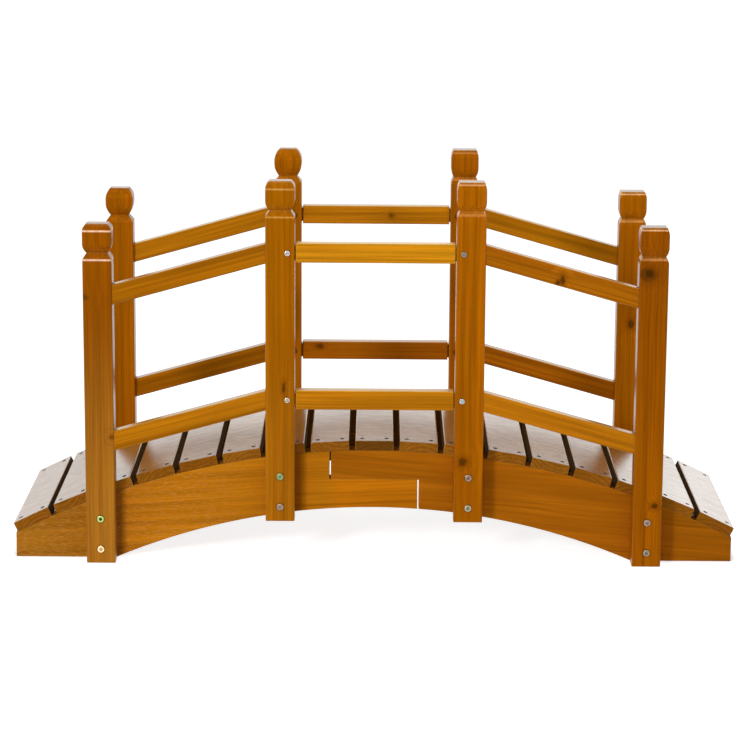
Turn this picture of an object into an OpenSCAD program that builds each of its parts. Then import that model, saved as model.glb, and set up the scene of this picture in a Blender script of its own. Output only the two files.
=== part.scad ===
// Moon bridge: an arched wooden garden footbridge with posts and sloped handrails.
// Sizes are millimetres. X runs along the bridge, Y across it, Z up from the floor.

/* [Overall] */
// length of the arched side beams over their feet
beam_length = 1500; // [1350:10:1650]
// width over the outer faces of the posts
overall_width = 540; // [480:5:600]

/* [Arched beams] */
// thickness of each side beam
beam_thick = 38; // [30:1:46]
// top of the beam at mid span
crown_height = 234; // [205:1:260]
// height of the beam at its ends
end_height = 51; // [40:1:60]
// clear height under the arch at mid span
arch_clear = 112; // [85:1:130]
// flat foot at each end of a beam
foot_length = 210; // [180:1:240]
// length of the half lap that joins the two halves of a beam
lap_length = 184; // [150:1:210]
// open slit at each shoulder of the half lap
lap_gap = 3; // [1:0.5:4]
// height of the lap seam as a share of the depth at the crown
lap_share = 0.49; // [0.42:0.01:0.58]

/* [Deck] */
// thickness of a deck board
board_thick = 21; // [17:1:25]
// open gap between two boards
board_gap = 12; // [8:0.5:16]
// rounding of the boards' upper edges
board_ease = 2.5; // [1:0.5:4]
// how far a board end stays back from the outer face of the beam
board_setback = 1; // [0.5:0.5:4]
// how far the last board edge stays back from the beam end along the arc
board_margin = 4; // [1:0.5:8]

/* [Posts] */
// width of a post along the bridge
post_width = 60; // [52:1:68]
// depth of a post across the bridge
post_depth = 46; // [40:1:54]
// rounding of a post's upright edges
post_ease = 3; // [1:0.5:5]
// middle of the end posts from mid span
end_post_x = 568; // [530:1:600]
// middle of the mid posts from mid span
mid_post_x = 195; // [170:1:220]
// top of the end posts
end_post_top = 714; // [680:1:760]
// top of the mid posts
mid_post_top = 804; // [760:1:850]
// underside of the mid posts
mid_post_foot = 93; // [80:1:120]
// height of a finial above its neck
finial_height = 60; // [58:1:70]

/* [Cushion finials, front left] */
// depth of the neck cut on each face
cushion_neck = 8.5; // [6:0.5:10]
// height of the shoulder under the neck
cushion_shoulder = 13; // [10:1:18]
// how far the crown curves in on each face
cushion_crown = 9; // [7:0.5:11]
// height of the curved crown
cushion_drop = 16.5; // [13:0.5:20]
// height of the curve from the neck out to the full width
cushion_rise = 21; // [17:1:26]

/* [Acorn finials, back left] */
acorn_neck = 10.5; // [8:0.5:12]
acorn_shoulder = 14; // [11:1:18]
// crown of the end post
acorn_crown = 10; // [8:0.5:12]
acorn_drop = 25; // [21:1:27]
// longer crown of the mid post
acorn_mid_crown = 13; // [11:0.5:15]
acorn_mid_drop = 27; // [23:1:28]
acorn_rise = 30; // [26:1:31]

/* [Barrel finials, right] */
barrel_neck = 6; // [4.5:0.5:8]
// height of the rounded shoulder under the neck
barrel_shoulder = 18; // [14:1:22]
barrel_crown = 4.5; // [3:0.5:6]
barrel_drop = 20; // [16:1:24]
barrel_rise = 22; // [18:1:28]
// rounding of the top edge
barrel_edge = 4.5; // [2:0.5:6]

/* [Rails] */
// height of a rail
rail_height = 40; // [34:1:46]
// thickness of a rail
rail_thick = 30; // [25:1:35]
// rounding of a rail's long edges
rail_ease = 3; // [1:0.5:5]
// middle of the upper level rails
top_rail_z = 657; // [620:1:680]
// middle of the lower level rails
bottom_rail_z = 350; // [320:1:380]
// how much lower the sloped rails start at the mid posts
slope_start = 2; // [0:0.5:8]
// fall of a sloped rail between its two posts
slope_drop = 87.5; // [70:0.5:100]
// how far the rails' outer faces stay back from the posts' outer faces
rail_recess = 3; // [1:0.5:8]
// open gap between a level rail's shoulder and its post
shoulder_gap = 3; // [0.5:0.5:5]
// how deep a tenon goes into its post
tenon_depth = 24; // [18:1:26]
// shoulder cut all round a tenon
tenon_cut = 5; // [4:0.5:7]
// clearance of a tenon in its mortise, beside it and above it
tenon_fit = 0.3; // [0.1:0.05:0.5]

/* [Hidden] */
$fn = 64;
hair = 0.1;
neck_lap = 1;
far = 1000;
boards = 17;
half_length = beam_length / 2;
beam_face = overall_width / 2 - post_depth;
deck_length = 2 * (beam_face - board_setback);
post_y = overall_width / 2 - post_depth / 2;
rail_y = overall_width / 2 - rail_recess - rail_thick / 2;
// top edge of the beam: an arc over the crown and both ends
rise = crown_height - end_height;
arc_r = (half_length * half_length + rise * rise) / (2 * rise);
arc_z = crown_height - arc_r;
// underside: an arc over the clear height and the inner ends of the two feet
spring_x = half_length - foot_length;
under_r = (spring_x * spring_x + arch_clear * arch_clear) / (2 * arch_clear);
under_z = arch_clear - under_r;
lap_z = arch_clear + lap_share * (crown_height - arch_clear);
// boards share the arc evenly, each on its own flat
arc_half = asin(half_length / arc_r) - board_margin / arc_r * 180 / PI;
gap_angle = board_gap / arc_r * 180 / PI;
board_angle = (2 * arc_half - (boards - 1) * gap_angle) / boards;
board_pitch = board_angle + gap_angle;
board_width = 2 * arc_r * sin(board_angle / 2);
seat_r = arc_r * cos(board_angle / 2);
// rails
slope_x1 = mid_post_x + post_width / 2;
slope_x2 = end_post_x - post_width / 2;
slope_angle = atan(slope_drop / (slope_x2 - slope_x1));
tenon_height = rail_height - 2 * tenon_cut;
tenon_thick = rail_thick - 2 * tenon_cut;
level_half = mid_post_x - post_width / 2 - shoulder_gap;
// finials as made: neck cut, shoulder, crown, drop, rise, top edge, and if the shoulder is round
cushion = [
  cushion_neck, cushion_shoulder, cushion_crown, cushion_drop, cushion_rise, 0, false
];
acorn = [acorn_neck, acorn_shoulder, acorn_crown, acorn_drop, acorn_rise, 0, false];
acorn_mid = [acorn_neck, acorn_shoulder, acorn_mid_crown, acorn_mid_drop, acorn_rise, 0, false];
barrel = [
  barrel_neck, barrel_shoulder, barrel_crown, barrel_drop, barrel_rise, barrel_edge, true
];

// a rectangle with rounded corners, centred
module eased(w, d, r) {
  union() {
    square([w - 2 * r, d], center = true);
    square([w, d - 2 * r], center = true);
    for (sx = [-1, 1], sy = [-1, 1])
      translate([sx * (w / 2 - r), sy * (d / 2 - r)]) circle(r);
  }
}

// a shape drawn in X and Z, given a thickness in Y from y to y + t
module upright(y, t) {
  translate([0, y + t, 0]) rotate([90, 0, 0]) linear_extrude(t) children();
}

// side view of a whole beam: flats for the boards on top, an arc underneath
module beam_side() {
  flats = [for (k = [0 : boards - 1], s = [-1, 1])
    let (a = (k - (boards - 1) / 2) * board_pitch + s * board_angle / 2)
      [arc_r * sin(a), arc_z + arc_r * cos(a)]];
  difference() {
    polygon(concat(
      [[half_length, 0], [-half_length, 0], [-half_length, end_height]],
      flats,
      [[half_length, end_height]]
    ));
    translate([0, under_z]) circle(under_r, $fn = 200);
  }
}

// the part of a beam that belongs to the left half: it keeps the lower tongue
module left_half() {
  translate([-half_length - 10, -10])
    square([half_length + 10 - lap_length / 2 - lap_gap / 2, crown_height + 20]);
  translate([-lap_length / 2 - lap_gap / 2 - 1, -10])
    square([lap_length + 1, lap_z + 10]);
}

// the part of a beam that belongs to the right half: it keeps the upper tongue
module right_half() {
  translate([lap_length / 2 + lap_gap / 2, -10])
    square([half_length + 10, crown_height + 20]);
  translate([-lap_length / 2 + lap_gap / 2, lap_z])
    square([lap_length + 1, crown_height]);
}

module left_beam(y) {
  color([0.66, 0.40, 0.12]) upright(y, beam_thick) intersection() {
    beam_side();
    left_half();
  }
}

module right_beam(y) {
  color([0.70, 0.43, 0.14]) upright(y, beam_thick) intersection() {
    beam_side();
    right_half();
  }
}

// radius of an arc that leaves a straight side and comes in by a given way over a given height
function sweep(way, height) = (way * way + height * height) / (2 * way);

// all that lies inside one side that runs straight up to the height z and curves in past it,
// upwards or downwards; the arc stands a hair outside the straight side, so the two cross
module inside_sweep(w, r, z, up) {
  x = w / 2 + hair - r;
  union() {
    translate([x, z]) circle(r, $fn = 128);
    translate([x - far, z - far]) square([far, 2 * far]);
    translate([-far, up ? z - far - 5 * hair : z + 5 * hair]) square([2 * far, far]);
  }
}

module swept(w, r, z, up) {
  intersection() {
    inside_sweep(w, r, z, up);
    mirror([1, 0]) inside_sweep(w, r, z, up);
  }
}

// shaft of a post in side view, with its shoulder run on a little past the neck
module shaft_side(w, foot, neck, finial) {
  shoulder = neck - finial[1];
  tip = w / 2 - finial[0] * (1 + neck_lap / finial[1]);
  if (finial[6])
    intersection() {
      translate([-w / 2, foot]) square([w, neck + neck_lap - foot]);
      swept(w, sweep(finial[0], finial[1]), shoulder, true);
    }
  else
    polygon([
      [-w / 2, foot], [w / 2, foot], [w / 2, shoulder],
      [tip, neck + neck_lap], [-tip, neck + neck_lap], [-w / 2, shoulder]
    ]);
}

// finial in side view: it curves out from the neck, stands straight and curves in to a flat top
module finial_side(w, neck, top, finial) {
  crown_r = sweep(finial[2], finial[3]);
  intersection() {
    translate([-w / 2, neck - neck_lap]) square([w, top - neck + neck_lap]);
    swept(w, sweep(finial[0], finial[4]), neck + finial[4], false);
    swept(w, crown_r, top - finial[3], true);
  }
}

// the same finial with its top edge rounded over
module eased_finial_side(w, neck, top, finial) {
  edge = finial[5];
  crown_r = sweep(finial[2], finial[3]);
  // what the crown has come in by where the edge starts to round
  came_in = crown_r - sqrt(crown_r * crown_r - pow(finial[3] - edge, 2));
  intersection() {
    finial_side(w, neck, top, finial);
    swept(w - 2 * came_in + 4 * hair, edge, top - edge + hair, true);
  }
}

// side view of a post from its foot to its flat top
module post_side(w, foot, neck, top, finial) {
  union() {
    shaft_side(w, foot, neck, finial);
    if (finial[5] > 0)
      eased_finial_side(w, neck, top, finial);
    else
      finial_side(w, neck, top, finial);
  }
}

// a post before its mortises, standing on the middle of its own foot
module post_body(foot, top, finial) {
  neck = top - finial_height;
  intersection() {
    upright(-post_depth / 2, post_depth) post_side(post_width, foot, neck, top, finial);
    // the neck of the narrow faces lies a hair lower, so that the cuts cross at the corners
    rotate([0, 0, 90]) upright(-post_width / 2, post_width)
      post_side(post_depth, foot, neck - 3 * hair, top, finial);
    translate([0, 0, foot]) linear_extrude(top - foot) eased(post_width, post_depth, post_ease);
  }
}

// a level bar along X through the origin
module level_bar(x1, x2, h, t, r) {
  translate([x1, 0, 0]) rotate([90, 0, 90]) linear_extrude(x2 - x1) eased(t, h, r);
}

// tenons of the level rails: a plain bar, or its mortise when fit is given
module level_tenon(fit) {
  reach = mid_post_x - post_width / 2 + tenon_depth + fit;
  translate([-reach, -tenon_thick / 2 - fit, -tenon_height / 2])
    cube([2 * reach, tenon_thick + 2 * fit, tenon_height + 2 * fit]);
}

// a bar that falls with the sloped rails of the right side, from x1 to x2
module sloped_bar(x1, x2, h, t, r) {
  intersection() {
    translate([slope_x1, 0, 0]) rotate([0, slope_angle, 0])
      level_bar(-100, (slope_x2 - slope_x1) / cos(slope_angle) + 100, h, t, r);
    translate([x1, -t, -500]) cube([x2 - x1, 2 * t, 1000]);
  }
}

// tenons of a sloped rail: a plain bar, or its mortise when fit is given
module sloped_tenon(fit) {
  intersection() {
    translate([slope_x1, 0, 0]) rotate([0, slope_angle, 0])
      translate([-100, -tenon_thick / 2 - fit, -tenon_height / 2])
        cube([
          (slope_x2 - slope_x1) / cos(slope_angle) + 200,
          tenon_thick + 2 * fit,
          tenon_height + 2 * fit
        ]);
    translate([slope_x1 - tenon_depth - fit, -rail_thick, -500])
      cube([slope_x2 - slope_x1 + 2 * (tenon_depth + fit), 2 * rail_thick, 1000]);
  }
}

module level_rail(z) {
  color([0.74, 0.47, 0.15]) translate([0, rail_y, z]) union() {
    level_bar(-level_half, level_half, rail_height, rail_thick, rail_ease);
    level_tenon(0);
  }
}

module sloped_rail(z) {
  color([0.72, 0.45, 0.14]) translate([0, rail_y, z - slope_start]) union() {
    sloped_bar(slope_x1, slope_x2, rail_height, rail_thick, rail_ease);
    sloped_tenon(0);
  }
}

// the right mid post of a side, with the mortises of two level and two sloped rails
module mid_post(finial) {
  color([0.60, 0.35, 0.10]) difference() {
    translate([mid_post_x, post_y, 0]) post_body(mid_post_foot, mid_post_top, finial);
    for (z = [bottom_rail_z, top_rail_z]) {
      translate([0, rail_y, z]) level_tenon(tenon_fit);
      translate([0, rail_y, z - slope_start]) sloped_tenon(tenon_fit);
    }
  }
}

// the right end post of a side, with the mortises of two sloped rails
module end_post(finial) {
  color([0.60, 0.35, 0.10]) difference() {
    translate([end_post_x, post_y, 0]) post_body(0, end_post_top, finial);
    for (z = [bottom_rail_z, top_rail_z])
      translate([0, rail_y, z - slope_start]) sloped_tenon(tenon_fit);
  }
}

// turns a piece of the back right into one of the front or back, left or right
module place(sx, sy) {
  mirror([sx < 0 ? 1 : 0, 0, 0]) mirror([0, sy < 0 ? 1 : 0, 0]) children();
}

// one board on its own flat of the arc, counted from the left
module deck_board(number) {
  a = (number - (boards + 1) / 2) * board_pitch;
  color([0.68, 0.42, 0.13]) translate([0, 0, arc_z]) rotate([0, a, 0])
    translate([0, 0, seat_r]) upright(-deck_length / 2, deck_length) union() {
      translate([-board_width / 2, 0]) square([board_width, board_thick - board_ease]);
      translate([-board_width / 2 + board_ease, 0])
        square([board_width - 2 * board_ease, board_thick]);
      for (s = [-1, 1])
        translate([s * (board_width / 2 - board_ease), board_thick - board_ease])
          circle(board_ease);
    }
}

left_beam(-beam_face);  // front_left_beam
right_beam(-beam_face);  // front_right_beam
left_beam(beam_face - beam_thick);  // back_left_beam
right_beam(beam_face - beam_thick);  // back_right_beam

place(-1, -1) end_post(cushion);  // front_left_end_post
place(-1, -1) mid_post(cushion);  // front_left_mid_post
place(1, -1) mid_post(barrel);  // front_right_mid_post
place(1, -1) end_post(barrel);  // front_right_end_post
place(-1, 1) end_post(acorn);  // back_left_end_post
place(-1, 1) mid_post(acorn_mid);  // back_left_mid_post
place(1, 1) mid_post(barrel);  // back_right_mid_post
place(1, 1) end_post(barrel);  // back_right_end_post

place(-1, -1) sloped_rail(top_rail_z);  // front_left_top_rail
place(-1, -1) sloped_rail(bottom_rail_z);  // front_left_bottom_rail
place(1, -1) level_rail(top_rail_z);  // front_middle_top_rail
place(1, -1) level_rail(bottom_rail_z);  // front_middle_bottom_rail
place(1, -1) sloped_rail(top_rail_z);  // front_right_top_rail
place(1, -1) sloped_rail(bottom_rail_z);  // front_right_bottom_rail
place(-1, 1) sloped_rail(top_rail_z);  // back_left_top_rail
place(-1, 1) sloped_rail(bottom_rail_z);  // back_left_bottom_rail
place(1, 1) level_rail(top_rail_z);  // back_middle_top_rail
place(1, 1) level_rail(bottom_rail_z);  // back_middle_bottom_rail
place(1, 1) sloped_rail(top_rail_z);  // back_right_top_rail
place(1, 1) sloped_rail(bottom_rail_z);  // back_right_bottom_rail

deck_board(1);  // deck_board_01
deck_board(2);  // deck_board_02
deck_board(3);  // deck_board_03
deck_board(4);  // deck_board_04
deck_board(5);  // deck_board_05
deck_board(6);  // deck_board_06
deck_board(7);  // deck_board_07
deck_board(8);  // deck_board_08
deck_board(9);  // deck_board_09
deck_board(10);  // deck_board_10
deck_board(11);  // deck_board_11
deck_board(12);  // deck_board_12
deck_board(13);  // deck_board_13
deck_board(14);  // deck_board_14
deck_board(15);  // deck_board_15
deck_board(16);  // deck_board_16
deck_board(17);  // deck_board_17
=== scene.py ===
import math

import bmesh
import bpy
from mathutils import Euler, Matrix, Vector


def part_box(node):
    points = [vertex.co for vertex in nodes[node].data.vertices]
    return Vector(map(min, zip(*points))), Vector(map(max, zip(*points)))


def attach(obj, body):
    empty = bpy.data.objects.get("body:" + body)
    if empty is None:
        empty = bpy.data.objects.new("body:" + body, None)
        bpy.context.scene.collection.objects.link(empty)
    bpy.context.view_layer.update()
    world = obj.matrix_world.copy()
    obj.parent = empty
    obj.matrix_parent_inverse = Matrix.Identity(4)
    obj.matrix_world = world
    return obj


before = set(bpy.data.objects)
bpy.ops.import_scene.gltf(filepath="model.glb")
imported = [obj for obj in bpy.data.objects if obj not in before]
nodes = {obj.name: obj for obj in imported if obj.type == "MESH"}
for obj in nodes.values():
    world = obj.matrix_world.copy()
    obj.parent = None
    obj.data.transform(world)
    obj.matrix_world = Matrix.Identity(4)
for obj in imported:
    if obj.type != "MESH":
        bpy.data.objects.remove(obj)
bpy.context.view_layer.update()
scene = bpy.context.scene
scene.view_settings.view_transform = "Standard"
print("frame:", len(nodes), "nodes")

# sizes the looks need again, in metres
bridge = {
    "halfWidth": 0.270,
    "boardCount": 17,
    "middleBoard": 8,
    "railSlope": math.radians(15.62),
}

# camera where the photograph was taken from
view = {
    "place": (0.0030, -5.7559, 1.6022),
    "lookDown": math.radians(12.310),
    "turn": math.radians(0.028),
    "roll": math.radians(0.408),
    "lens": 131.21,
    "sensor": 36.0,
    "clipEnd": 200,
}


def addCamera():
    lens = bpy.data.cameras.new("viewCamera")
    lens.sensor_width = view["sensor"]
    lens.lens = view["lens"]
    lens.clip_end = view["clipEnd"]
    camera = bpy.data.objects.new("viewCamera", lens)
    scene.collection.objects.link(camera)
    turn = Matrix.Rotation(view["turn"], 4, "Z")
    tilt = Matrix.Rotation(math.pi / 2 - view["lookDown"], 4, "X")
    roll = Matrix.Rotation(view["roll"], 4, "Z")
    camera.matrix_world = Matrix.Translation(view["place"]) @ turn @ tilt @ roll
    scene.camera = camera


addCamera()
print("camera set")


# short forms for node trees
def addNode(tree, kind, **settings):
    node = tree.nodes.new(kind)
    for key, value in settings.items():
        setattr(node, key, value)
    return node


def feed(tree, socket, value):
    if isinstance(value, bpy.types.NodeSocket):
        tree.links.new(value, socket)
    elif value is not None:
        socket.default_value = value


def calc(tree, operation, *values):
    node = addNode(tree, "ShaderNodeMath", operation=operation)
    for socket, value in zip(node.inputs, values):
        feed(tree, socket, value)
    return node.outputs[0]


def vectorCalc(tree, operation, *values):
    node = addNode(tree, "ShaderNodeVectorMath", operation=operation)
    for socket, value in zip(node.inputs, values):
        feed(tree, socket, value)
    return node


def splitXYZ(tree, vector):
    node = addNode(tree, "ShaderNodeSeparateXYZ")
    feed(tree, node.inputs[0], vector)
    return node.outputs


def remap(tree, value, low, high, toLow=0.0, toHigh=1.0, kind="LINEAR"):
    node = addNode(tree, "ShaderNodeMapRange", clamp=True, interpolation_type=kind)
    for socket, given in zip(node.inputs, (value, low, high, toLow, toHigh)):
        feed(tree, socket, given)
    return node.outputs[0]


def softStep(tree, value, low, high, toLow=0.0, toHigh=1.0):
    return remap(tree, value, low, high, toLow, toHigh, "SMOOTHSTEP")


def mixColor(tree, factor, first, second, blend="MIX"):
    node = addNode(tree, "ShaderNodeMix", data_type="RGBA", blend_type=blend)
    feed(tree, node.inputs[0], factor)
    feed(tree, node.inputs[6], first)  # colour A
    feed(tree, node.inputs[7], second)  # colour B
    return node.outputs[2]  # colour result


# a colour multiplied by a change where the mask says so, for stains and for painted light and shade
def stainAndLightOver(tree, mask, color, change):
    changed = mixColor(tree, 1.0, color, (*change, 1), "MULTIPLY")
    return mixColor(tree, mask, color, changed)


def noise(tree, vector, scale, detail, rough=0.5):
    stretched = vectorCalc(tree, "MULTIPLY", vector, scale).outputs[0]
    node = addNode(tree, "ShaderNodeTexNoise")
    feed(tree, node.inputs["Vector"], stretched)
    node.inputs["Scale"].default_value = 1.0
    node.inputs["Detail"].default_value = detail
    node.inputs["Roughness"].default_value = rough
    return node


def newGroup(name, inputs, outputs):
    tree = bpy.data.node_groups.new(name, "ShaderNodeTree")
    for label, kind, value in inputs:
        socket = tree.interface.new_socket(label, in_out="INPUT", socket_type=kind)
        if value is not None:
            socket.default_value = value
    for label, kind in outputs:
        tree.interface.new_socket(label, in_out="OUTPUT", socket_type=kind)
    return tree, addNode(tree, "NodeGroupInput"), addNode(tree, "NodeGroupOutput")


def newMaterial(name):
    material = bpy.data.materials.new(name)
    material.use_nodes = True
    material.node_tree.nodes.clear()
    return material, material.node_tree


def addBump(tree, shader, height, strength, distance, normal=None):
    bump = addNode(tree, "ShaderNodeBump")
    bump.inputs["Strength"].default_value = strength
    bump.inputs["Distance"].default_value = distance
    feed(tree, bump.inputs["Height"], height)
    feed(tree, bump.inputs["Normal"], normal)
    feed(tree, shader.inputs["Normal"], bump.outputs[0])


def showSurface(tree, shader):
    output = addNode(tree, "ShaderNodeOutputMaterial")
    feed(tree, output.inputs["Surface"], shader.outputs[0])


# growth rings round a pith line along X, with fibres, streaks, stain clouds and torn flecks
# noises: stretch along each axis, detail, roughness
figure = {
    "drift": ((1.7, 8.0, 8.0), 2.0),
    "driftGain": 4.0,
    "yearPace": 0.31,
    "yearDetail": 2.0,
    "yearSpread": 2.6,
    "seasonTurn": 0.22,
    "seasons": ((0.18, 0.0), (0.50, 0.22), (0.80, 1.0), (0.92, 0.72)),
    "ringWeight": (0.25, 1.0),
    "fibre": ((6.0, 420.0, 420.0), 3.0, 0.6),
    "streak": ((1.9, 105.0, 105.0), 2.0, 0.55),
    "cloud": ((2.4, 15.0, 15.0), 3.0, 0.55),
    "fleck": ((75.0, 460.0, 460.0), 2.0, 0.55),
    "fineSpan": (0.3, 0.7),
    "cloudSpan": (0.34, 0.68),
    "fleckSpan": (0.46, 0.70),
}
midGrey = (0.5, 0.5, 0.5)


def makeGrainGroup():
    tree, given, out = newGroup(
        "timberGrain",
        [
            ("Vector", "NodeSocketVector", None),
            ("Ring Spacing", "NodeSocketFloat", 0.004),
            ("Waver", "NodeSocketFloat", 0.006),
            ("Push", "NodeSocketFloat", 0.0),
        ],
        [
            ("Late", "NodeSocketFloat"),
            ("Fibre", "NodeSocketFloat"),
            ("Streak", "NodeSocketFloat"),
            ("Cloud", "NodeSocketFloat"),
            ("Fleck", "NodeSocketFloat"),
        ],
    )
    vector = given.outputs["Vector"]
    drift = noise(tree, vector, *figure["drift"]).outputs["Color"]
    drift = vectorCalc(tree, "SUBTRACT", drift, midGrey).outputs[0]
    bend = vectorCalc(tree, "SCALE", drift)
    feed(tree, bend.inputs["Scale"], calc(tree, "MULTIPLY", given.outputs["Waver"], figure["driftGain"]))
    shifted = vectorCalc(tree, "ADD", vector, bend.outputs[0]).outputs[0]
    across = vectorCalc(tree, "MULTIPLY", shifted, (0.0, 1.0, 1.0)).outputs[0]
    radius = vectorCalc(tree, "LENGTH", across).outputs["Value"]
    radius = calc(tree, "ADD", radius, given.outputs["Push"])
    turns = calc(tree, "DIVIDE", radius, given.outputs["Ring Spacing"])
    # uneven years: rings bunch and spread
    years = addNode(tree, "ShaderNodeTexNoise", noise_dimensions="1D")
    feed(tree, years.inputs["W"], calc(tree, "MULTIPLY", turns, figure["yearPace"]))
    years.inputs["Scale"].default_value = 1.0
    years.inputs["Detail"].default_value = figure["yearDetail"]
    turns = calc(tree, "ADD", turns, calc(tree, "MULTIPLY", years.outputs[0], figure["yearSpread"]))
    # pale spring wood to dark summer wood within each year
    summer = addNode(tree, "ShaderNodeValToRGB")
    feed(tree, summer.inputs[0], calc(tree, "FRACT", turns))
    ramp = summer.color_ramp.elements
    turnLevel = figure["seasonTurn"]
    for end, spot in ((0, 0.0), (1, 1.0)):
        ramp[end].position = spot
        ramp[end].color = (turnLevel, turnLevel, turnLevel, 1)
    for spot, level in figure["seasons"]:
        ramp.new(spot).color = (level, level, level, 1)
    each = addNode(tree, "ShaderNodeTexWhiteNoise", noise_dimensions="1D")
    feed(tree, each.inputs["W"], calc(tree, "FLOOR", turns))
    weight = remap(tree, each.outputs["Value"], 0.0, 1.0, *figure["ringWeight"])
    fibre = noise(tree, vector, *figure["fibre"]).outputs[0]
    streak = noise(tree, shifted, *figure["streak"]).outputs[0]
    cloud = noise(tree, vector, *figure["cloud"]).outputs[0]
    fleck = noise(tree, vector, *figure["fleck"]).outputs[0]
    feed(tree, out.inputs["Late"], calc(tree, "MULTIPLY", summer.outputs[0], weight))
    feed(tree, out.inputs["Fibre"], remap(tree, fibre, *figure["fineSpan"]))
    feed(tree, out.inputs["Streak"], remap(tree, streak, *figure["fineSpan"]))
    feed(tree, out.inputs["Cloud"], softStep(tree, cloud, *figure["cloudSpan"]))
    feed(tree, out.inputs["Fleck"], softStep(tree, fleck, *figure["fleckSpan"]))
    return tree


# inputs of a mark that sits at one spot of a face
def markInputs(radius):
    return [
        ("Vector", "NodeSocketVector", None),
        ("Centre", "NodeSocketVector", None),
        ("Across", "NodeSocketVector", None),
        ("Radius", "NodeSocketFloat", radius),
    ]


# distance from the centre of a mark, in radii
def markShare(tree, given, away):
    away = vectorCalc(tree, "MULTIPLY", away, given.outputs["Across"]).outputs[0]
    distance = vectorCalc(tree, "LENGTH", away).outputs["Value"]
    return calc(tree, "DIVIDE", distance, given.outputs["Radius"])


# a branch knot: a dark core, a reddish halo and rings that bow round it
knotForm = {
    "radius": 0.006,
    "ragged": ((150.0, 150.0, 150.0), 2.0),
    "raggedDepth": (0.008, 0.008, 0.008),
    "core": (0.5, 1.1),
    "halo": (0.8, 2.4),
    "bowFall": -0.16,
    "bow": 1.2,
}


def makeKnotGroup():
    tree, given, out = newGroup(
        "branchKnot",
        markInputs(knotForm["radius"]),
        [("Core", "NodeSocketFloat"), ("Halo", "NodeSocketFloat"), ("Push", "NodeSocketFloat")],
    )
    vector = given.outputs["Vector"]
    ragged = noise(tree, vector, *knotForm["ragged"]).outputs["Color"]
    ragged = vectorCalc(tree, "SUBTRACT", ragged, midGrey).outputs[0]
    ragged = vectorCalc(tree, "MULTIPLY", ragged, knotForm["raggedDepth"]).outputs[0]
    away = vectorCalc(tree, "SUBTRACT", vector, given.outputs["Centre"]).outputs[0]
    away = vectorCalc(tree, "ADD", away, ragged).outputs[0]
    share = markShare(tree, given, away)
    fall = calc(tree, "MULTIPLY", calc(tree, "POWER", share, 2.0), knotForm["bowFall"])
    push = calc(tree, "MULTIPLY", calc(tree, "EXPONENT", fall), given.outputs["Radius"])
    feed(tree, out.inputs["Core"], softStep(tree, share, *knotForm["core"], 1.0, 0.0))
    feed(tree, out.inputs["Halo"], softStep(tree, share, *knotForm["halo"], 1.0, 0.0))
    feed(tree, out.inputs["Push"], calc(tree, "MULTIPLY", push, knotForm["bow"]))
    return tree


# dark ring round a bolt or screw head: stain pressed dark by the head, and painted contact shade
bruiseShadeForm = {
    "radius": 0.007,
    "span": (1.02, 1.34),
}


def makeBruiseShadeGroup():
    tree, given, out = newGroup(
        "headBruiseShade",
        markInputs(bruiseShadeForm["radius"]),
        [("Mask", "NodeSocketFloat")],
    )
    away = vectorCalc(tree, "SUBTRACT", given.outputs["Vector"], given.outputs["Centre"]).outputs[0]
    share = markShare(tree, given, away)
    feed(tree, out.inputs["Mask"], softStep(tree, share, *bruiseShadeForm["span"], 1.0, 0.0))
    return tree


# handled edges: rounded over, and paler where the stain is rubbed thin; the pale edge colour is also a
# painted highlight
edgeForm = {
    "reach": 0.0028,
    "patches": 0.5,
    "samples": 4,
    "span": (0.995, 0.90),
}


def makeEdgeGroup():
    tree, given, out = newGroup(
        "edgeRubSheen",
        [
            ("Reach", "NodeSocketFloat", edgeForm["reach"]),
            ("Patches", "NodeSocketFloat", edgeForm["patches"]),
        ],
        [("Mask", "NodeSocketFloat"), ("Normal", "NodeSocketVector")],
    )
    soft = addNode(tree, "ShaderNodeBevel", samples=edgeForm["samples"])
    feed(tree, soft.inputs["Radius"], given.outputs["Reach"])
    plain = addNode(tree, "ShaderNodeNewGeometry").outputs["Normal"]
    close = vectorCalc(tree, "DOT_PRODUCT", soft.outputs[0], plain).outputs["Value"]
    edge = softStep(tree, close, *edgeForm["span"])
    feed(tree, out.inputs["Mask"], calc(tree, "MULTIPLY", edge, given.outputs["Patches"]))
    feed(tree, out.inputs["Normal"], soft.outputs[0])
    return tree


grainGroup = makeGrainGroup()
knotGroup = makeKnotGroup()
bruiseShadeGroup = makeBruiseShadeGroup()
edgeGroup = makeEdgeGroup()
print("grain, knot, bruise and edge groups built")
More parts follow.
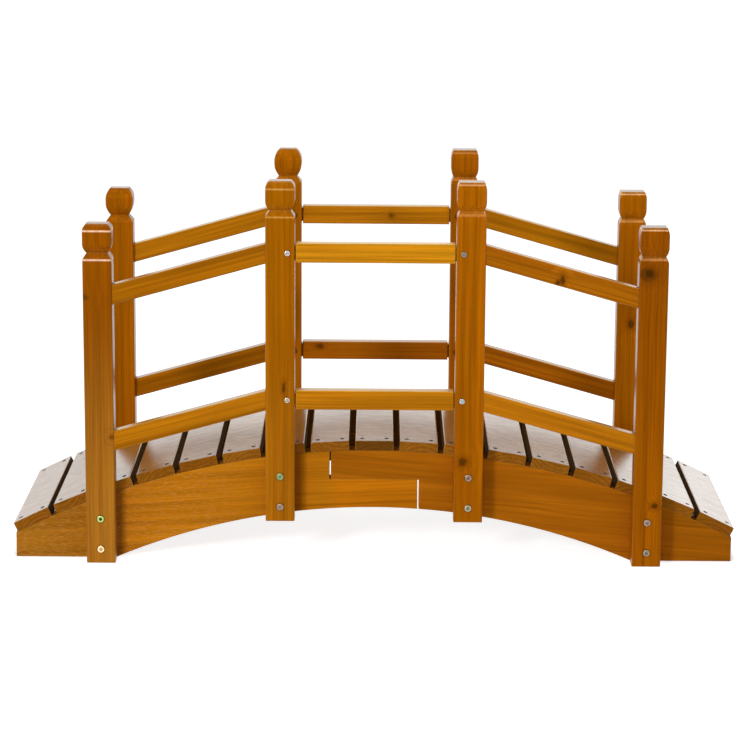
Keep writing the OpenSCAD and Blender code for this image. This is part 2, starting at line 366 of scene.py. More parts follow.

# stained fir by kind of piece: pale and dark of the ring, stain cloud, rubbed edge with a painted
# highlight, cut end, painted top sheen
# painted shade on hidden faces: way they look in the grain, both sides or one, how dark
# mottle: the thinnest varnish and the swell of its surface
timber = {
    "post": {
        "early": (0.398, 0.120, 0.0008),
        "late": (0.205, 0.049, 0.0003),
        "cloud": (0.285, 0.071, 0.0004),
        "rubbedSheen": (0.700, 0.380, 0.1000),
        "cutEnd": (0.55, 0.50, 0.60),
        "ringSpacing": 0.0042,
        "ringShare": 0.48,
        "streak": (0.79, 1.21),
        "waver": 0.0030,
        "roughness": (0.22, 0.34),
        "coat": (0.0, 0.52),
        "coatRough": 0.12,
        "sheen": 0.28,
        "paintedTopSheen": (1.25, 1.75, 1.0),
        "gloss": 1.6,
        "relief": 0.16,
    },
    "rail": {
        "early": (0.500, 0.176, 0.0040),
        "late": (0.300, 0.083, 0.0015),
        "cloud": (0.400, 0.125, 0.0030),
        "rubbedSheen": (0.760, 0.380, 0.0500),
        "cutEnd": (0.55, 0.50, 0.60),
        "ringSpacing": 0.0040,
        "ringShare": 0.68,
        "streak": (0.72, 1.25),
        "waver": 0.0026,
        "roughness": (0.24, 0.36),
        "coat": (0.0, 0.48),
        "coatRough": 0.12,
        "sheen": 0.34,
        "paintedTopSheen": (1.30, 1.85, 1.0),
        "rubSheen": 1.35,
        "gloss": 1.6,
        "relief": 0.16,
    },
    "beam": {
        "early": (0.440, 0.146, 0.0040),
        "late": (0.270, 0.073, 0.0015),
        "cloud": (0.340, 0.100, 0.0022),
        "rubbedSheen": (0.600, 0.260, 0.0150),
        "cutEnd": (0.62, 0.56, 0.60),
        "ringSpacing": 0.0062,
        "ringShare": 0.62,
        "streak": (0.80, 1.17),
        "waver": 0.0060,
        "roughness": (0.30, 0.44),
        "coat": (0.0, 0.0),
        "coatRough": 0.12,
        "sheen": 0.30,
        "gloss": 1.6,
        "relief": 0.20,
        "paintedShadeSides": (((0, 0, 1), False, (0.62, 0.62, 0.90)),),
    },
    "board": {
        "early": (0.360, 0.180, 0.0260),
        "late": (0.175, 0.070, 0.0080),
        "cloud": (0.265, 0.125, 0.0150),
        "rubbedSheen": (0.620, 0.360, 0.1200),
        "cutEnd": (0.82, 0.50, 0.20),
        "ringSpacing": 0.0078,
        "ringShare": 0.95,
        "streak": (0.84, 1.12),
        "waver": 0.0045,
        "roughness": (0.22, 0.26),
        "coat": (0.0, 1.0),
        "coatRough": 0.24,
        "sheen": 0.36,
        "gloss": 1.76,
        "relief": 0.40,
        "mottle": (0.75, 1.0),
        "calm": 0.75,
        "paintedShadeSides": (((0, 1, 0), True, (0.24, 0.22, 0.20)),),
    },
}
stains = {
    "knot": (0.030, 0.009, 0.0010, 1),
    "halo": (0.190, 0.044, 0.0010, 1),
    "bruise": (0.070, 0.024, 0.0015, 1),
    "fleck": (0.600, 0.290, 0.0800, 1),
    "sheenTint": (1.0, 0.46, 0.02, 1),
    "greenPower": 1.45,
    "bluePower": 2,
}

# how every piece takes its stain, wear and varnish
surface = {
    "cloudShare": 0.55,
    "fibreShade": (0.86, 1.12),
    "fleckReach": (0.16, 0.42),
    "upFacing": (0.62, 0.88),
    "calmFacing": (0.3, 0.8),
    "haloShare": 0.6,
    "coreShare": 0.9,
    "bruiseShadeShare": 0.8,
    "bruiseShadeAcross": (1, 0, 1),
    "endFacing": (0.80, 0.97),
    "endShare": 0.8,
    "tuckedFacing": (0.70, 0.92),
    "tuckedRough": 0.95,
    "rubSheenPatches": (0.70, 0.25),
    "ringRelief": 0.45,
    "fibreRelief": 0.55,
    "filledRelief": 0.10,
    "tread": ((30.0, 62.0, 30.0), 2.0),
    "treadSpan": (0.32, 0.68),
    "bumpDistance": 0.0005,
}


# darker wood is redder, and a piece may lean to green or red
def tint(color, tone, green=1.0):
    greener = color[1] * tone ** stains["greenPower"] * green
    return (color[0] * tone, greener, color[2] * tone ** stains["bluePower"], 1)


def placeMark(tree, group, place, spot, across, size):
    mark = addNode(tree, "ShaderNodeGroup", node_tree=group)
    feed(tree, mark.inputs["Vector"], place)
    mark.inputs["Centre"].default_value = spot
    mark.inputs["Across"].default_value = across
    mark.inputs["Radius"].default_value = size
    return mark


def woodMaterial(name, kind, turn, centre, look):
    wood = timber[kind]
    tone, green = look["tone"], look.get("green", 1.0)
    material, tree = newMaterial(name)
    place = addNode(tree, "ShaderNodeTexCoord").outputs["Object"]
    where = splitXYZ(tree, place)
    facing = addNode(tree, "ShaderNodeNewGeometry").outputs["Normal"]
    upward = splitXYZ(tree, facing)["Z"]
    spin = Euler(turn).to_matrix()
    unturn = spin.inverted()

    # how far a face looks along a line of the grain
    def looksAlong(line):
        return vectorCalc(tree, "DOT_PRODUCT", facing, tuple(unturn @ Vector(line))).outputs["Value"]

    turned = addNode(tree, "ShaderNodeMapping", vector_type="POINT")
    turned.inputs["Rotation"].default_value = turn
    turned.inputs["Location"].default_value = Vector(look["pith"]) - spin @ Vector(centre)
    feed(tree, turned.inputs["Vector"], place)
    grain = addNode(tree, "ShaderNodeGroup", node_tree=grainGroup)
    feed(tree, grain.inputs["Vector"], turned.outputs[0])
    grain.inputs["Ring Spacing"].default_value = wood["ringSpacing"]
    grain.inputs["Waver"].default_value = wood["waver"]
    late, fibre, cloud = grain.outputs["Late"], grain.outputs["Fibre"], grain.outputs["Cloud"]
    # rings, stain clouds, streaks and fibres
    pale, dark, clouded = (tint(wood[part], tone, green) for part in ("early", "late", "cloud"))
    color = mixColor(tree, calc(tree, "MULTIPLY", late, wood["ringShare"]), pale, dark)
    color = mixColor(tree, calc(tree, "MULTIPLY", cloud, surface["cloudShare"]), color, clouded)
    streaks = remap(tree, grain.outputs["Streak"], 0.0, 1.0, *wood["streak"])
    fibres = remap(tree, fibre, 0.0, 1.0, *surface["fibreShade"])
    shaded = vectorCalc(tree, "SCALE", color)
    feed(tree, shaded.inputs["Scale"], calc(tree, "MULTIPLY", streaks, fibres))
    color = shaded.outputs[0]
    # stretches of a piece that are paler or darker, some of them painted highlights and painted shadows:
    # axis, place, full within, gone beyond, by how much
    for axis, spot, near, far, change in look.get("fades", ()):
        off = calc(tree, "ABSOLUTE", calc(tree, "SUBTRACT", where[axis], spot))
        color = stainAndLightOver(tree, softStep(tree, off, near, far, 1.0, 0.0), color, change)
    if "fleck" in look:
        # torn grain, only towards the foot of the beam
        fromMid = calc(tree, "ABSOLUTE", where["X"])
        reach = softStep(tree, fromMid, *surface["fleckReach"], 0.0, look["fleck"])
        torn = calc(tree, "MULTIPLY", grain.outputs["Fleck"], reach)
        color = mixColor(tree, torn, color, tint(stains["fleck"], tone))
    if "paintedTopSheen" in wood:
        # painted sheen: tops made paler and creamier, standing in for the light they catch from above
        color = stainAndLightOver(tree, softStep(tree, upward, *surface["upFacing"]), color, wood["paintedTopSheen"])
    if "calm" in wood:
        # built-up varnish hides the figure on top
        hide = softStep(tree, upward, *surface["calmFacing"], 0.0, wood["calm"])
        color = mixColor(tree, hide, color, clouded)
    # knots bend the rings and darken the stain
    push = None
    for spot, size, depth, shape in look.get("knots", ()):
        knot = placeMark(tree, knotGroup, place, spot, shape, size)
        halo = calc(tree, "MULTIPLY", knot.outputs["Halo"], surface["haloShare"] * depth)
        core = calc(tree, "MULTIPLY", knot.outputs["Core"], surface["coreShare"] * depth)
        color = mixColor(tree, halo, color, stains["halo"])
        color = mixColor(tree, core, color, stains["knot"])
        bow = knot.outputs["Push"]
        push = bow if push is None else calc(tree, "ADD", push, bow)
    feed(tree, grain.inputs["Push"], push)
    # dark rings round the heads: pressed stain and painted contact shade
    for spot, size in look.get("bruises", ()):
        bruise = placeMark(tree, bruiseShadeGroup, place, spot, surface["bruiseShadeAcross"], size)
        bruiseShadeMask = calc(tree, "MULTIPLY", bruise.outputs["Mask"], surface["bruiseShadeShare"])
        color = mixColor(tree, bruiseShadeMask, color, stains["bruise"])
    # cut ends drink the stain and go darker, and the rings still show
    endOn = calc(tree, "ABSOLUTE", looksAlong((1, 0, 0)))
    cutEnd = softStep(tree, endOn, *surface["endFacing"], 0.0, surface["endShare"])
    color = stainAndLightOver(tree, cutEnd, color, look.get("sawn", wood["cutEnd"]))
    # painted shade: faces tucked away between the pieces are darkened, and made dull
    tucked = None
    for toward, bothSides, dim in wood.get("paintedShadeSides", ()) + look.get("paintedShadeSides", ()):
        side = looksAlong(toward)
        if bothSides:
            side = calc(tree, "ABSOLUTE", side)
        side = softStep(tree, side, *surface["tuckedFacing"])
        color = stainAndLightOver(tree, side, color, dim)
        tucked = side if tucked is None else calc(tree, "MAXIMUM", tucked, side)
    # edges rubbed thin, their paler colour partly a painted highlight
    rubSheen = addNode(tree, "ShaderNodeGroup", node_tree=edgeGroup)
    wornSheen = look.get("rubSheen", wood.get("rubSheen", 1.0))
    most, least = (share * wornSheen for share in surface["rubSheenPatches"])
    feed(tree, rubSheen.inputs["Patches"], remap(tree, cloud, 0.0, 1.0, most, least))
    color = mixColor(tree, rubSheen.outputs["Mask"], color, tint(wood["rubbedSheen"], tone))
    shader = addNode(tree, "ShaderNodeBsdfPrincipled")
    feed(tree, shader.inputs["Base Color"], color)
    rough = remap(tree, fibre, 0.0, 1.0, *wood["roughness"])
    if tucked is not None:
        rough = calc(tree, "MAXIMUM", rough, calc(tree, "MULTIPLY", tucked, surface["tuckedRough"]))
    feed(tree, shader.inputs["Roughness"], rough)
    shader.inputs["Specular IOR Level"].default_value = wood["sheen"]
    shader.inputs["Coat Roughness"].default_value = wood["coatRough"]
    shader.inputs["Coat IOR"].default_value = look.get("gloss", wood["gloss"])
    shader.inputs["Specular Tint"].default_value = stains["sheenTint"]
    # varnish sits heavier on what faces up
    varnish = softStep(tree, upward, *surface["upFacing"], *wood["coat"])
    height = calc(tree, "MULTIPLY", fibre, surface["fibreRelief"])
    height = calc(tree, "MULTIPLY_ADD", late, surface["ringRelief"], height)
    if "mottle" in wood:
        # trodden varnish: uneven in patches, the grain filled
        thinnest, swell = wood["mottle"]
        tread = noise(tree, place, *surface["tread"]).outputs[0]
        tread = remap(tree, tread, *surface["treadSpan"])
        varnish = calc(tree, "MULTIPLY", varnish, remap(tree, tread, 0.0, 1.0, thinnest, 1.0))
        height = calc(tree, "MULTIPLY", height, surface["filledRelief"])
        height = calc(tree, "MULTIPLY_ADD", tread, swell, height)
    feed(tree, shader.inputs["Coat Weight"], varnish)
    addBump(tree, shader, height, wood["relief"], surface["bumpDistance"], rubSheen.outputs["Normal"])
    showSurface(tree, shader)
    return material


def dress(name, material):
    thing = nodes[name]
    thing.data.materials.clear()
    thing.data.materials.append(material)


def middle(name):
    low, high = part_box(name)
    return (low + high) / 2


# where the heads sit: bolts through the posts, screws that lock the level rails, deck screws
fixings = {
    "boltHeights": {"end": (0.0295, 0.0945), "mid": (0.1230, 0.1880)},
    "boltRadius": 0.0073,
    "railScrewX": 0.180,
    "railScrewHeights": (0.6570, 0.3505),
    "railScrewRadius": 0.0058,
    "deckScrewIn": 0.0255,
    "deckScrewY": 0.2010,
    "deckScrewRadius": 0.0046,
}

# posts: upright grain, knots where the photograph has them
roundKnot = (1, 0, 1)
posts = {
    # the narrow Z fades high on the posts are painted highlights: pale lines at the finial ridges and
    # shoulder breaks
    "front_left_end_post": {"tone": 0.715, "pith": (0.3, 0.090, 0.020),
                            "fades": [("Z", 0.0, 0.12, 0.60, (1.60, 2.50, 45.0)),
                                      ("Z", 0.6995, 0.0010, 0.0026, (3.2, 7.9, 960.0)),
                                      ("Z", 0.6400, 0.0010, 0.0028, (3.2, 7.9, 960.0))],
                            "knots": [((-0.5945, 0, 0.563), 0.009, 0.55, (1, 0, 1.3)),
                                      ((-0.543, 0, 0.270), 0.006, 0.6, roundKnot)]},
    "front_left_mid_post": {"tone": 0.98, "green": 1.07, "pith": (1.1, 0.060, -0.050),
                            "fades": [("Z", 0.0, 0.20, 0.50, (1.10, 1.20, 6.0)),
                                      ("Z", 0.7880, 0.0008, 0.0030, (1.7, 2.6, 90.0)),
                                      ("Z", 0.7305, 0.0008, 0.0026, (1.6, 2.4, 60.0))],
                            "knots": [((-0.1870, 0, 0.376), 0.0085, 0.85, (1.9, 0, 0.6))]},
    "front_right_mid_post": {"tone": 1.08, "green": 0.92, "pith": (2.3, -0.080, 0.030),
                             "fades": [("Z", 0.7990, 0.0008, 0.0024, (1.9, 3.3, 160.0)),
                                       ("Z", 0.7375, 0.0015, 0.0040, (1.45, 1.9, 48.0))],
                             "knots": [((0.183, 0, 0.222), 0.0105, 0.85, roundKnot)]},
    "front_right_end_post": {"tone": 0.80, "green": 0.91, "pith": (3.9, 0.075, 0.040),
                             "fades": [("Z", 0.0, 0.12, 0.60, (1.23, 1.38, 1.5)),
                                       ("Z", 0.7090, 0.0008, 0.0024, (2.7, 5.9, 400.0)),
                                       ("Z", 0.6485, 0.0012, 0.0036, (2.0, 3.5, 160.0))],
                             "knots": [((0.5560, 0, 0.6190), 0.0210, 1.0, (1.0, 0, 1.25)),
                                       ((0.5580, 0, 0.6210), 0.0100, 1.0, roundKnot),
                                       ((0.5825, 0, 0.1305), 0.0075, 0.9, roundKnot)]},
    "back_left_end_post": {"tone": 0.88, "green": 0.98, "rubSheen": 0.2, "pith": (4.7, 0.085, -0.010)},
    "back_left_mid_post": {"tone": 0.98, "rubSheen": 0.2, "pith": (5.2, -0.060, 0.050)},
    "back_right_mid_post": {"tone": 0.91, "green": 0.95, "pith": (6.4, 0.070, 0.025),
                            "fades": [("Z", 0.7980, 0.0010, 0.0030, (1.5, 2.1, 60.0)),
                                      ("Z", 0.7385, 0.0010, 0.0030, (1.5, 2.1, 60.0))]},
    "back_right_end_post": {"tone": 0.97, "green": 0.97, "pith": (7.7, 0.095, -0.020),
                            "fades": [("Z", 0.7090, 0.0008, 0.0024, (2.2, 4.1, 250.0)),
                                      ("Z", 0.6485, 0.0012, 0.0036, (1.6, 2.4, 90.0))],
                            "knots": [((0.5695, 0, 0.418), 0.0105, 0.8, (1.2, 0, 0.9))]},
}
for name, look in posts.items():
    spot = middle(name)
    level = "end" if "_end_" in name else "mid"
    bruises = [((spot.x, 0, z), fixings["boltRadius"]) for z in fixings["boltHeights"][level]]
    if level == "mid":
        screwX = math.copysign(fixings["railScrewX"], spot.x)
        bruises += [((screwX, 0, z), fixings["railScrewRadius"]) for z in fixings["railScrewHeights"]]
    look["bruises"] = bruises
    dress(name, woodMaterial(name + "Wood", "post", (0, math.pi / 2, 0), spot, look))
print("posts stained")

# rails: grain along each rail
rails = {
    "front_left_top_rail": {"tone": 0.75, "green": 1.07, "pith": (0.7, 0.050, 0.015)},
    "front_left_bottom_rail": {"tone": 0.945, "green": 1.03, "pith": (1.9, -0.060, 0.020)},
    "front_middle_top_rail": {"tone": 1.34, "green": 1.04, "pith": (2.8, 0.065, -0.012)},
    "front_middle_bottom_rail": {"tone": 1.03, "pith": (3.3, 0.045, 0.030)},
    "front_right_top_rail": {"tone": 0.90, "green": 0.93, "pith": (4.6, -0.050, -0.020),
                             "knots": [((0.3815, 0, 0.605), 0.0085, 0.9, (1.5, 0, 0.75)),
                                       ((0.3720, 0, 0.600), 0.0055, 0.8, roundKnot)]},
    "front_right_bottom_rail": {"tone": 1.08, "green": 0.95, "pith": (5.1, 0.055, 0.010)},
    "back_left_top_rail": {"tone": 0.91, "green": 1.06, "pith": (6.2, 0.050, 0.025)},
    "back_left_bottom_rail": {"tone": 0.67, "green": 1.08, "pith": (7.4, -0.055, 0.015)},
    "back_middle_top_rail": {"tone": 1.05, "pith": (8.8, 0.060, -0.022),
                             "knots": [((0.034, 0, 0.656), 0.006, 0.7, roundKnot)]},
    "back_middle_bottom_rail": {"tone": 0.765, "green": 0.88, "pith": (9.5, 0.048, 0.018),
                                "knots": [((-0.124, 0, 0.360), 0.0075, 0.8, (0.7, 0, 1.3))]},
    "back_right_top_rail": {"tone": 0.83, "green": 1.09, "pith": (10.3, -0.062, 0.012)},
    "back_right_bottom_rail": {"tone": 0.78, "green": 0.91, "pith": (11.6, 0.052, -0.016)},
}
for name, look in rails.items():
    slope = 0.0
    if "_left_" in name:
        slope = bridge["railSlope"]
    if "_right_" in name:
        slope = -bridge["railSlope"]
    dress(name, woodMaterial(name + "Wood", "rail", (0, slope, 0), middle(name), look))
print("rails stained")

# arched beams: long plank grain, torn pale flecks on the left halves
beams = {
    "front_left_beam": {"tone": 1.08, "pith": (0.4, 0.110, 0.060), "lean": 0.06, "fleck": 0.34,
                        # first and third fades are painted light: brighter in the middle of the beam,
                        # darker towards its left end
                        "fades": [("X", -0.36, 0.06, 0.24, (1.20, 1.24, 1.10)),
                                  ("X", 0.05, 0.11, 0.16, (1.17, 1.06, 0.80)),
                                  ("X", -0.70, 0.05, 0.16, (0.82, 0.92, 1.90)),
                                  # painted shadows: dark bands on the beam just right of the two left
                                  # posts
                                  ("X", -0.534, 0.003, 0.010, (0.55, 0.47, 0.50)),
                                  ("X", -0.160, 0.004, 0.012, (0.55, 0.47, 0.50))]},
    "front_right_beam": {"tone": 0.985, "green": 0.91, "pith": (1.6, -0.120, -0.050), "lean": -0.08,
                         "fades": [("X", 0.72, 0.06, 0.26, (0.85, 0.87, 0.90)),
                                   ("X", 0.00, 0.09, 0.16, (0.955, 0.96, 1.0))]},
    "back_left_beam": {"tone": 1.00, "pith": (2.9, 0.100, -0.070), "lean": -0.05, "fleck": 0.25,
                       # painted shade on the inner faces of the back beams
                       "paintedShadeSides": (((0, -1, 0), False, (0.30, 0.36, 1.2)),)},
    "back_right_beam": {"tone": 0.96, "green": 0.95, "pith": (4.1, -0.115, 0.045), "lean": 0.05,
                        "paintedShadeSides": (((0, -1, 0), False, (0.30, 0.36, 1.2)),)},
}
for name, look in beams.items():
    dress(name, woodMaterial(name + "Wood", "beam", (0, look["lean"], 0), middle(name), look))
print("beams stained")

# deck boards: grain across the bridge, each from its own plank; rises and sides of the pith in mm
deck = {
    "tones": (0.9, 0.92, 1.05, 0.95, 0.83, 1.05, 0.85, 1.0, 1.02, 1.04,
              1.1, 1.0, 1.05, 0.95, 0.9, 0.95, 0.85),
    "rises": (60, -50, 80, 45, -70, 55, 90, -45, 60, 50, -80, 65, -55, 70, 50, -60, 75),
    "sides": (12, -20, 5, 25, -8, 18, -15, 22, -4, 10, -24, 14, 20, -12, 6, -18, 9),
    "gloss": (1.80, 1.82, 1.74, 1.70, 1.56, 1.86, 1.76, 1.72, 2.18, 1.84,
              2.06, 2.20, 1.98, 1.96, 1.84, 1.90, 2.06),
    "plankStep": 1.3,
    "darkEnd": 8,
    "darkSawn": (0.22, 0.06, 0.04),
    "pitch": math.radians(3.268),
}


def boardName(index):
    return "deck_board_%02d" % (index + 1)


def boardPitch(index):
    return (index - bridge["middleBoard"]) * deck["pitch"]


for index in range(bridge["boardCount"]):
    name = boardName(index)
    look = {
        "tone": deck["tones"][index],
        "pith": (deck["plankStep"] * index, deck["sides"][index] / 1000, deck["rises"][index] / 1000),
        "gloss": deck["gloss"][index],
    }
    if index == deck["darkEnd"]:
        look["sawn"] = deck["darkSawn"]
    turn = (0, -boardPitch(index), -math.pi / 2)
    dress(name, woodMaterial(name + "Wood", "board", turn, middle(name), look))
print("deck stained")

# zinc-plated steel: each head's own colours, passivate on the rings and painted shade in the recesses,
# on the rims and on the sunk deck screws; fine scratches
zinc = {
    "patch": ((240.0, 240.0, 240.0), 3.0, 0.6),
    "patchSpan": (0.40, 0.66),
    "tarnish": (0.72, 0.70, 0.66),
    "scratch": ((900.0, 900.0, 2600.0), 2.0),
    "scratchSpan": (0.3, 0.7),
    "relief": 0.10,
    "bumpDistance": 0.0002,
}


def zincMaterial(name, metallic, roughness):
    material, tree = newMaterial(name)
    place = addNode(tree, "ShaderNodeTexCoord").outputs["Object"]
    finishAndShade = addNode(tree, "ShaderNodeAttribute", attribute_name="finishAndShade").outputs["Color"]
    patch = noise(tree, place, *zinc["patch"]).outputs[0]
    scratch = noise(tree, place, *zinc["scratch"]).outputs[0]
    color = stainAndLightOver(tree, softStep(tree, patch, *zinc["patchSpan"]), finishAndShade, zinc["tarnish"])
    shader = addNode(tree, "ShaderNodeBsdfPrincipled")
    feed(tree, shader.inputs["Base Color"], color)
    shader.inputs["Metallic"].default_value = metallic
    feed(tree, shader.inputs["Roughness"], remap(tree, scratch, *zinc["scratchSpan"], *roughness))
    addBump(tree, shader, scratch, zinc["relief"], zinc["bumpDistance"])
    showSurface(tree, shader)
    return material


boltZinc = zincMaterial("boltZinc", metallic=1.0, roughness=(0.26, 0.46))
deckZinc = zincMaterial("deckScrewZinc", metallic=0.2, roughness=(0.75, 0.95))

# ring and recess colours; the darker recess colours are painted shade in the sockets
finishesAndShades = {
    "grey": ((0.30, 0.22, 0.16), (0.170, 0.115, 0.085)),
    "lime": ((0.44, 0.57, 0.20), (0.024, 0.070, 0.006)),
    "cream": ((0.92, 0.68, 0.42), (0.47, 0.33, 0.16)),
    "sage": ((0.24, 0.31, 0.16), (0.170, 0.220, 0.105)),
    "drab": ((0.33, 0.23, 0.18), (0.230, 0.160, 0.125)),
    "bright": ((0.62, 0.57, 0.56), (0.430, 0.400, 0.380)),
    "pearl": ((0.56, 0.46, 0.34), (0.390, 0.320, 0.230)),
    "dull": ((0.30, 0.27, 0.22), (0.210, 0.190, 0.165)),
    "ice": ((0.46, 0.48, 0.47), (0.420, 0.480, 0.520)),
    "silver": ((0.35, 0.31, 0.21), (0.190, 0.165, 0.105)),
    "plum": ((0.34, 0.25, 0.20), (0.210, 0.150, 0.165)),
    "steel": ((0.29, 0.24, 0.17), (0.160, 0.130, 0.095)),
    # painted shade: near black heads for the deck screws sunk in their holes
    "sunk": ((0.030, 0.024, 0.018), (0.010, 0.008, 0.006)),
}
boltFinish = {
    "front_left_end_post": ("cream", "lime"),
    "front_left_mid_post": ("drab", "sage"),
    "front_right_mid_post": ("silver", "grey"),
    "front_right_end_post": ("steel", "plum"),
}
screwFinish = ("bright", "pearl", "dull", "ice")

# head shapes: a hexagon socket in the bolts, a cross recess in the screws
heads = {
    "bolt": {"radius": fixings["boltRadius"], "rise": 0.0018, "sink": 0.0008, "ease": 0.0009,
             "recess": 0.0038, "drop": 0.0014, "taper": 0.96, "steps": 24, "form": "hexagon"},
    "railScrew": {"radius": fixings["railScrewRadius"], "rise": 0.0016, "sink": 0.0008, "ease": 0.0009,
                  "recess": 0.0040, "drop": 0.0012, "taper": 0.70, "steps": 24, "form": "cross"},
    "deckScrew": {"radius": fixings["deckScrewRadius"], "rise": 0.0002, "sink": 0.0020, "ease": 0.0,
                  "recess": 0.0024, "drop": 0.00015, "taper": 0.55, "steps": 16, "form": "cross"},
}
headDetail = {
    "easeSteps": 2,
    "inset": 0.2,
    "wing": 0.42,
    "rimShade": 0.4,
    "ringFacing": 0.8,
    "spin": 0.7,
    "slack": 1e-5,
}


# distance from the centre to the recess edge at an angle
def recessReach(form, size, angle):
    if form == "hexagon":
        turn = angle % (math.pi / 3) - math.pi / 6
        return size * math.cos(math.pi / 6) / math.cos(turn)
    turn = abs((angle + math.pi / 4) % (math.pi / 2) - math.pi / 4)
    wing = size * headDetail["wing"]
    if math.tan(turn) * size <= wing:
        return size / math.cos(turn)
    return wing / math.sin(turn)


def makeHead(name):
    look = heads[name]
    bm = bmesh.new()
    bmesh.ops.create_cone(bm, cap_ends=True, segments=look["steps"], radius1=look["radius"],
                          radius2=look["radius"], depth=look["rise"] + look["sink"])
    bmesh.ops.translate(bm, verts=bm.verts, vec=(0, 0, (look["rise"] - look["sink"]) / 2))
    if look["ease"] > 0:
        level = look["rise"] - headDetail["slack"]
        rim = [e for e in bm.edges if min(v.co.z for v in e.verts) > level]
        bmesh.ops.bevel(bm, geom=rim, offset=look["ease"], segments=headDetail["easeSteps"],
                        profile=0.5, affect="EDGES", material=-1)
    top = max(bm.faces, key=lambda f: f.calc_center_median().z + f.calc_area())
    thickness = look["radius"] * headDetail["inset"]
    bmesh.ops.inset_region(bm, faces=[top], thickness=thickness, use_even_offset=True)
    for vert in top.verts:
        angle = math.atan2(vert.co.y, vert.co.x)
        reach = recessReach(look["form"], look["recess"], angle)
        vert.co.xy = (reach * math.cos(angle), reach * math.sin(angle))
    # with its edges given, the face moves down and leaves no lid
    sunk = bmesh.ops.extrude_face_region(bm, geom=[top, *top.edges])["geom"]
    floor = [v for v in sunk if isinstance(v, bmesh.types.BMVert)]
    bmesh.ops.translate(bm, verts=floor, vec=(0, 0, -look["drop"]))
    bmesh.ops.scale(bm, verts=floor, vec=(look["taper"], look["taper"], 1))
    bmesh.ops.recalc_face_normals(bm, faces=bm.faces)
    mesh = bpy.data.meshes.new(name + "Head")
    bm.to_mesh(mesh)
    bm.free()
    return mesh


def addHeads(name, kind, places, material):
    head = makeHead(kind)
    look = heads[kind]
    level = look["rise"] - headDetail["slack"]
    bm = bmesh.new()
    colors = []
    for index, (place, finishAndShade) in enumerate(places):
        ring, recess = finishesAndShades[finishAndShade]
        rim = tuple(c * headDetail["rimShade"] for c in ring)
        # the recess, the flat ring round it, then the rim; recess and rim colours are painted shade
        for face in head.polygons:
            inside = face.center.xy.length < look["recess"] and face.center.z < level
            flat = face.normal.z > headDetail["ringFacing"]
            colors.append(recess if inside else ring if flat else rim)
        first = len(bm.verts)
        bm.from_mesh(head)
        bm.verts.ensure_lookup_table()
        spun = place @ Matrix.Rotation(headDetail["spin"] * index, 4, "Z")
        bmesh.ops.transform(bm, matrix=spun, verts=bm.verts[first:])
    mesh = bpy.data.meshes.new(name)
    bm.to_mesh(mesh)
    bm.free()
    bpy.data.meshes.remove(head)
    layer = mesh.color_attributes.new("finishAndShade", "FLOAT_COLOR", "CORNER")
    for face, color in zip(mesh.polygons, colors):
        for corner in face.loop_indices:
            layer.data[corner].color = (*color, 1)
    mesh.materials.append(material)
    piece = bpy.data.objects.new(name, mesh)
    scene.collection.objects.link(piece)
    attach(piece, "root")


# on the outer faces of both sides, heads looking out
def outward(x, z, side):
    turn = Matrix.Rotation(-side * math.pi / 2, 4, "X")
    return Matrix.Translation((x, side * bridge["halfWidth"], z)) @ turn


boltPlaces = []
for name in posts:
    level = "end" if "_end_" in name else "mid"
    side = -1 if name.startswith("front") else 1
    pair = zip(fixings["boltHeights"][level], boltFinish.get(name, ("grey", "grey")))
    boltPlaces += [(outward(middle(name).x, z, side), finishAndShade) for z, finishAndShade in pair]
addHeads("post_bolts", "bolt", boltPlaces, boltZinc)

railPlaces = []
for side in (-1, 1):
    for x in (-fixings["railScrewX"], fixings["railScrewX"]):
        for z in fixings["railScrewHeights"]:
            finishAndShade = screwFinish[len(railPlaces) % len(screwFinish)]
            railPlaces.append((outward(x, z, side), finishAndShade))
addHeads("rail_screws", "railScrew", railPlaces, boltZinc)

deckPlaces = []
for index in range(bridge["boardCount"]):
    name = boardName(index)
    board = Matrix.Translation(middle(name)) @ Matrix.Rotation(boardPitch(index), 4, "Y")
    flatten = board.inverted() @ nodes[name].matrix_world
    corners = [flatten @ vert.co for vert in nodes[name].data.vertices]
    top = max(corner.z for corner in corners)
    centre = (max(corner.x for corner in corners) + min(corner.x for corner in corners)) / 2
    for x in (-fixings["deckScrewIn"], fixings["deckScrewIn"]):
        for y in (-fixings["deckScrewY"], fixings["deckScrewY"]):
            deckPlaces.append((board @ Matrix.Translation((centre + x, y, top)), "sunk"))
addHeads("deck_screws", "deckScrew", deckPlaces, deckZinc)
print("heads placed:", len(boltPlaces), "bolts,", len(railPlaces), "rail screws,",
      len(deckPlaces), "deck screws")

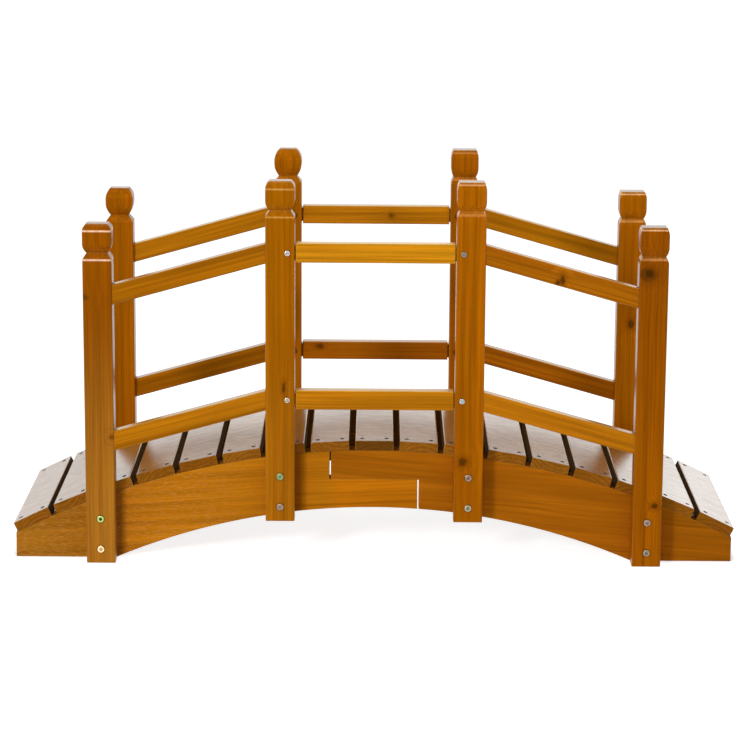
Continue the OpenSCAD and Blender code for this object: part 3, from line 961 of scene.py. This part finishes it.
# soft studio: white floor and sky, lamps in front and at the sides, a wide one above, low ones behind
studio = {
    "worldFill": 0.224,
    "worldMirrored": 0.80,
    "floorColor": (0.80, 0.80, 0.80, 1),
    "floorLift": 0.82,
    "floorHalf": 30,
    "floorShift": (0, 12, -0.0006),
    "darkFrom": (0.57, 0.62),
    "darkTo": (0.74, 0.77),
    "darkAcross": (0.20, 0.25),
    "lamps": [
        ("lampLeft", (-2.2, -4.2, 2.0), (0, 0, 0.40), (0.8, 0.8), 106),
        ("lampRight", (2.8, -3.4, 2.0), (0, 0, 0.40), (1.6, 1.6), 7),
        ("lampFront", (0.0, -4.8, 1.45), (0, 0, 0.50), (2.0, 0.4), 8),
        ("lampSideLeft", (-3.6, -0.4, 1.4), (0, 0, 0.40), (1.2, 1.2), 16),
        ("lampSideRight", (3.6, -0.4, 1.4), (0, 0, 0.40), (1.2, 1.2), 24),
        ("lampAbove", (0.0, -0.9, 2.6), (0, 0, 0.55), (2.6, 1.8), 20),
        ("lampBack", (0.6, 4.2, 1.1), (0.4, 0, 0.30), (4.4, 1.6), 9.0),
        ("lampBackLeft", (-2.3, 4.0, 0.9), (-0.6, 0, 0.20), (1.3, 1.4), 1.6),
        ("lampBackRight", (2.3, 4.0, 0.9), (0.6, 0, 0.20), (1.3, 1.4), 2.5),
    ],
}


def addWorld():
    world = bpy.data.worlds.new("studioWorld")
    world.use_nodes = True
    tree = world.node_tree
    tree.nodes.clear()
    path = addNode(tree, "ShaderNodeLightPath")
    mirrored = calc(tree, "MAXIMUM", path.outputs["Is Glossy Ray"], path.outputs["Is Transmission Ray"])
    level = remap(tree, mirrored, 0.0, 1.0, studio["worldFill"], studio["worldMirrored"])
    back = addNode(tree, "ShaderNodeBackground")
    back.inputs["Color"].default_value = (1, 1, 1, 1)
    feed(tree, back.inputs["Strength"], calc(tree, "MAXIMUM", level, path.outputs["Is Camera Ray"]))
    feed(tree, addNode(tree, "ShaderNodeOutputWorld").inputs["Surface"], back.outputs[0])
    scene.world = world


def addFloor():
    bm = bmesh.new()
    bmesh.ops.create_grid(bm, x_segments=1, y_segments=1, size=studio["floorHalf"])
    bmesh.ops.translate(bm, verts=bm.verts, vec=studio["floorShift"])
    mesh = bpy.data.meshes.new("studioFloor")
    bm.to_mesh(mesh)
    bm.free()
    floor = bpy.data.objects.new("studioFloor", mesh)
    scene.collection.objects.link(floor)
    material, tree = newMaterial("studioFloor")
    diffuse = addNode(tree, "ShaderNodeBsdfDiffuse")
    diffuse.inputs["Color"].default_value = studio["floorColor"]
    path = addNode(tree, "ShaderNodeLightPath")
    seen = calc(tree, "MAXIMUM", path.outputs["Is Camera Ray"], path.outputs["Is Glossy Ray"])
    seen = calc(tree, "MAXIMUM", seen, path.outputs["Is Transmission Ray"])
    # painted shadow: no lift under the low ends of the deck, so the floor stays dark there
    where = splitXYZ(tree, addNode(tree, "ShaderNodeTexCoord").outputs["Object"])
    along = calc(tree, "ABSOLUTE", where["X"])
    inner = softStep(tree, along, *studio["darkFrom"])
    outer = softStep(tree, along, *studio["darkTo"], 1.0, 0.0)
    between = softStep(tree, calc(tree, "ABSOLUTE", where["Y"]), *studio["darkAcross"], 1.0, 0.0)
    dark = calc(tree, "MULTIPLY", calc(tree, "MULTIPLY", inner, outer), between)
    level = remap(tree, dark, 0.0, 1.0, studio["floorLift"], 0.0)
    lift = addNode(tree, "ShaderNodeEmission")
    feed(tree, lift.inputs["Strength"], calc(tree, "MULTIPLY", seen, level))
    both = addNode(tree, "ShaderNodeAddShader")
    feed(tree, both.inputs[0], diffuse.outputs[0])
    feed(tree, both.inputs[1], lift.outputs[0])
    showSurface(tree, both)
    mesh.materials.append(material)


def addLamps():
    for name, spot, aim, size, power in studio["lamps"]:
        lamp = bpy.data.lights.new(name, "AREA")
        lamp.shape = "RECTANGLE"
        lamp.size, lamp.size_y = size
        lamp.energy = power
        thing = bpy.data.objects.new(name, lamp)
        scene.collection.objects.link(thing)
        thing.location = spot
        thing.rotation_euler = (Vector(aim) - Vector(spot)).to_track_quat("-Z", "Y").to_euler()
        thing.visible_camera = False


addWorld()
addFloor()
addLamps()
print("studio lit")
